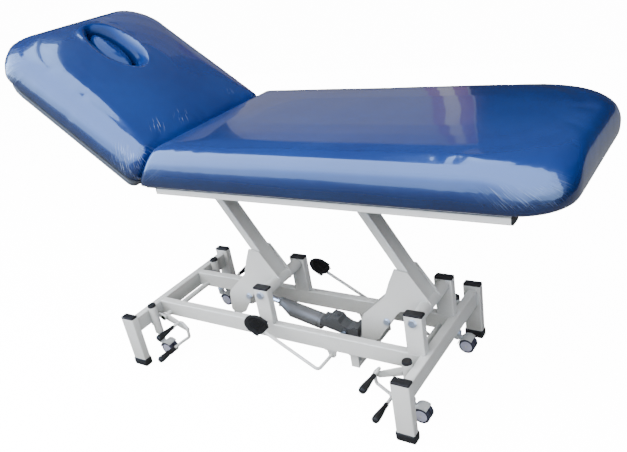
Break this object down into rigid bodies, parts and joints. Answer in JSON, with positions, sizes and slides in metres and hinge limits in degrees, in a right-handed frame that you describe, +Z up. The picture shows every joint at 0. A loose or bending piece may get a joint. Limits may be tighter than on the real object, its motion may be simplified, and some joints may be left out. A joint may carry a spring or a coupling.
{
  "type": "treatment couch",
  "caption": "Two-section hydraulic treatment couch: padded top with a breathing slot and raised head section on a parallelogram lift, with foot pedals and drop-down castors.",
  "frame": {"origin": "on the floor under the middle of the whole couch, with the head section raised as drawn", "axes": "+X towards the foot end, +Z up, +Y towards the user's left when lying face up"},
  "size_m": [1.7726, 0.654, 1.2206],
  "materials": {
    "white_enamel": "semi-gloss off-white powder coat",
    "black_plastic": "moulded black plastic",
    "black_rubber": "matt black rubber",
    "zinc_steel": "zinc-plated steel",
    "chrome_steel": "ground chromed rod",
    "blue_vinyl": "gloss royal-blue vinyl-coated cloth over foam",
    "board": "dark grey faced plywood",
    "pump_grey": "metallic grey paint",
    "pump_cast": "dark painted casting",
    "castor_hood": "light grey moulded nylon",
    "castor_wheel": "lilac-grey nylon with a dark tread"
  },
  "bodies": {
    "base": {"base_frame": "white_enamel", "post_plugs": "black_plastic", "rubber_feet": "black_rubber", "sleeve_caps": "black_plastic", "pivot_pins": "zinc_steel", "pivot_bushes": "zinc_steel", "pump_mount": "white_enamel", "tail_pin": "zinc_steel", "pedal_hangers": "white_enamel"},
    "head_lift_arm": {"head_arm": "white_enamel", "head_arm_bolts": "zinc_steel"},
    "foot_lift_arm": {"foot_arm": "white_enamel", "foot_arm_bolts": "zinc_steel"},
    "top": {"top_frame": "white_enamel", "rail_plugs": "black_plastic", "top_pins": "zinc_steel", "main_board": "board", "main_cushion": "blue_vinyl", "frame_leaves": "zinc_steel", "hinge_bolts": "zinc_steel"},
    "head_section": {"head_frame": "white_enamel", "head_board": "board", "head_cushion": "blue_vinyl", "head_leaves": "zinc_steel"},
    "face_plug": {"slot_plug": "blue_vinyl"},
    "pump": {"oil_tank": "pump_grey", "pump_block": "pump_cast", "pump_plunger": "zinc_steel"},
    "rod": {"ram_rod": "chrome_steel", "ram_crosshead": "chrome_steel"},
    "pedals": {"pedal_bar": "white_enamel", "pedal_pads": "black_rubber"},
    "head_castor_lever": {"head_lift_bar": "white_enamel", "head_lift_grips": "black_rubber"},
    "foot_castor_lever": {"foot_lift_bar": "white_enamel", "foot_lift_grips": "black_rubber"},
    "head_left_stem": {"stem_head_left": "zinc_steel"},
    "head_left_castor": {"fork_head_left": "castor_hood"},
    "head_left_wheel_in": {"wheel_head_left_in": "castor_wheel"},
    "head_left_wheel_out": {"wheel_head_left_out": "castor_wheel"},
    "head_right_stem": {"stem_head_right": "zinc_steel"},
    "head_right_castor": {"fork_head_right": "castor_hood"},
    "head_right_wheel_in": {"wheel_head_right_in": "castor_wheel"},
    "head_right_wheel_out": {"wheel_head_right_out": "castor_wheel"},
    "foot_left_stem": {"stem_foot_left": "zinc_steel"},
    "foot_left_castor": {"fork_foot_left": "castor_hood"},
    "foot_left_wheel_in": {"wheel_foot_left_in": "castor_wheel"},
    "foot_left_wheel_out": {"wheel_foot_left_out": "castor_wheel"},
    "foot_right_stem": {"stem_foot_right": "zinc_steel"},
    "foot_right_castor": {"fork_foot_right": "castor_hood"},
    "foot_right_wheel_in": {"wheel_foot_right_in": "castor_wheel"},
    "foot_right_wheel_out": {"wheel_foot_right_out": "castor_wheel"}
  },
  "joints": [
    {"name": "lift", "type": "hinge", "parent": "base", "child": "head_lift_arm", "pos_m": [-0.13767, 0, 0.309], "axis": [0, 1, 0], "range_deg": [-42, 11]},
    {"name": "foot_arm_turn", "type": "hinge", "parent": "base", "child": "foot_lift_arm", "pos_m": [0.42433, 0, 0.309], "axis": [0, 1, 0], "range_deg": [-42, 11]},
    {"name": "top_level", "type": "hinge", "parent": "head_lift_arm", "child": "top", "pos_m": [-0.37369, 0, 0.69566], "axis": [0, 1, 0], "range_deg": [-11, 42]},
    {"name": "head_tilt", "type": "hinge", "parent": "top", "child": "head_section", "pos_m": [-0.37767, 0, 0.75566], "axis": [0, 1, 0], "range_deg": [-36, 0]},
    {"name": "plug_lift", "type": "slide", "parent": "head_section", "child": "face_plug", "axis": [0.5878, 0, 0.809], "range_m": [0, 0.12]},
    {"name": "ram_swing", "type": "hinge", "parent": "base", "child": "pump", "pos_m": [0.18033, 0, 0.128], "axis": [0, 1, 0], "range_deg": [-8.94, 2.36]},
    {"name": "ram_stroke", "type": "slide", "parent": "pump", "child": "rod", "axis": [-0.9774, 0, 0.2113], "range_m": [-0.0959, 0.0252]},
    {"name": "pedal_press", "type": "hinge", "parent": "base", "child": "pedals", "pos_m": [0.10633, 0, 0.112], "axis": [0, 1, 0], "range_deg": [-24, 0], "stiffness_Nm_per_rad": 12, "springref_deg": 20.05},
    {"name": "head_castor_lift", "type": "hinge", "parent": "base", "child": "head_castor_lever", "pos_m": [-0.61967, 0, 0.149], "axis": [0, -1, 0], "range_deg": [0, 52]},
    {"name": "foot_castor_lift", "type": "hinge", "parent": "base", "child": "foot_castor_lever", "pos_m": [0.40033, 0, 0.149], "axis": [0, 1, 0], "range_deg": [0, 52]},
    {"name": "head_left_drop", "type": "slide", "parent": "base", "child": "head_left_stem", "axis": [0, 0, -1], "range_m": [0, 0.0205]},
    {"name": "head_left_swivel", "type": "hinge", "parent": "head_left_stem", "child": "head_left_castor", "pos_m": [-0.64267, 0.19, 0.055], "axis": [0, 0, 1], "continuous": true},
    {"name": "head_left_roll_in", "type": "hinge", "parent": "head_left_castor", "child": "head_left_wheel_in", "pos_m": [-0.60767, 0.1787, 0.029], "axis": [0, 1, 0], "continuous": true},
    {"name": "head_left_roll_out", "type": "hinge", "parent": "head_left_castor", "child": "head_left_wheel_out", "pos_m": [-0.60767, 0.2013, 0.029], "axis": [0, 1, 0], "continuous": true},
    {"name": "head_right_drop", "type": "slide", "parent": "base", "child": "head_right_stem", "axis": [0, 0, -1], "range_m": [0, 0.0205]},
    {"name": "head_right_swivel", "type": "hinge", "parent": "head_right_stem", "child": "head_right_castor", "pos_m": [-0.64267, -0.19, 0.055], "axis": [0, 0, 1], "continuous": true},
    {"name": "head_right_roll_in", "type": "hinge", "parent": "head_right_castor", "child": "head_right_wheel_in", "pos_m": [-0.60767, -0.1787, 0.029], "axis": [0, 1, 0], "continuous": true},
    {"name": "head_right_roll_out", "type": "hinge", "parent": "head_right_castor", "child": "head_right_wheel_out", "pos_m": [-0.60767, -0.2013, 0.029], "axis": [0, 1, 0], "continuous": true},
    {"name": "foot_left_drop", "type": "slide", "parent": "base", "child": "foot_left_stem", "axis": [0, 0, -1], "range_m": [0, 0.0205]},
    {"name": "foot_left_swivel", "type": "hinge", "parent": "foot_left_stem", "child": "foot_left_castor", "pos_m": [0.42333, 0.19, 0.055], "axis": [0, 0, 1], "continuous": true},
    {"name": "foot_left_roll_in", "type": "hinge", "parent": "foot_left_castor", "child": "foot_left_wheel_in", "pos_m": [0.45833, 0.1787, 0.029], "axis": [0, 1, 0], "continuous": true},
    {"name": "foot_left_roll_out", "type": "hinge", "parent": "foot_left_castor", "child": "foot_left_wheel_out", "pos_m": [0.45833, 0.2013, 0.029], "axis": [0, 1, 0], "continuous": true},
    {"name": "foot_right_drop", "type": "slide", "parent": "base", "child": "foot_right_stem", "axis": [0, 0, -1], "range_m": [0, 0.0205]},
    {"name": "foot_right_swivel", "type": "hinge", "parent": "foot_right_stem", "child": "foot_right_castor", "pos_m": [0.42333, -0.19, 0.055], "axis": [0, 0, 1], "continuous": true},
    {"name": "foot_right_roll_in", "type": "hinge", "parent": "foot_right_castor", "child": "foot_right_wheel_in", "pos_m": [0.45833, -0.1787, 0.029], "axis": [0, 1, 0], "continuous": true},
    {"name": "foot_right_roll_out", "type": "hinge", "parent": "foot_right_castor", "child": "foot_right_wheel_out", "pos_m": [0.45833, -0.2013, 0.029], "axis": [0, 1, 0], "continuous": true}
  ],
  "couplings": [
    {"joint": "foot_arm_turn", "follows": "lift", "ratio": 1},
    {"joint": "top_level", "follows": "lift", "ratio": -1},
    {"joint": "ram_swing", "follows": "lift", "ratio": 0.21245},
    {"joint": "ram_stroke", "follows": "lift", "m_per_rad": 0.13072},
    {"joint": "head_left_drop", "follows": "head_castor_lift", "m_per_rad": 0.022215},
    {"joint": "head_right_drop", "follows": "head_castor_lift", "m_per_rad": 0.022215},
    {"joint": "foot_left_drop", "follows": "foot_castor_lift", "m_per_rad": 0.022215},
    {"joint": "foot_right_drop", "follows": "foot_castor_lift", "m_per_rad": 0.022215}
  ]
}
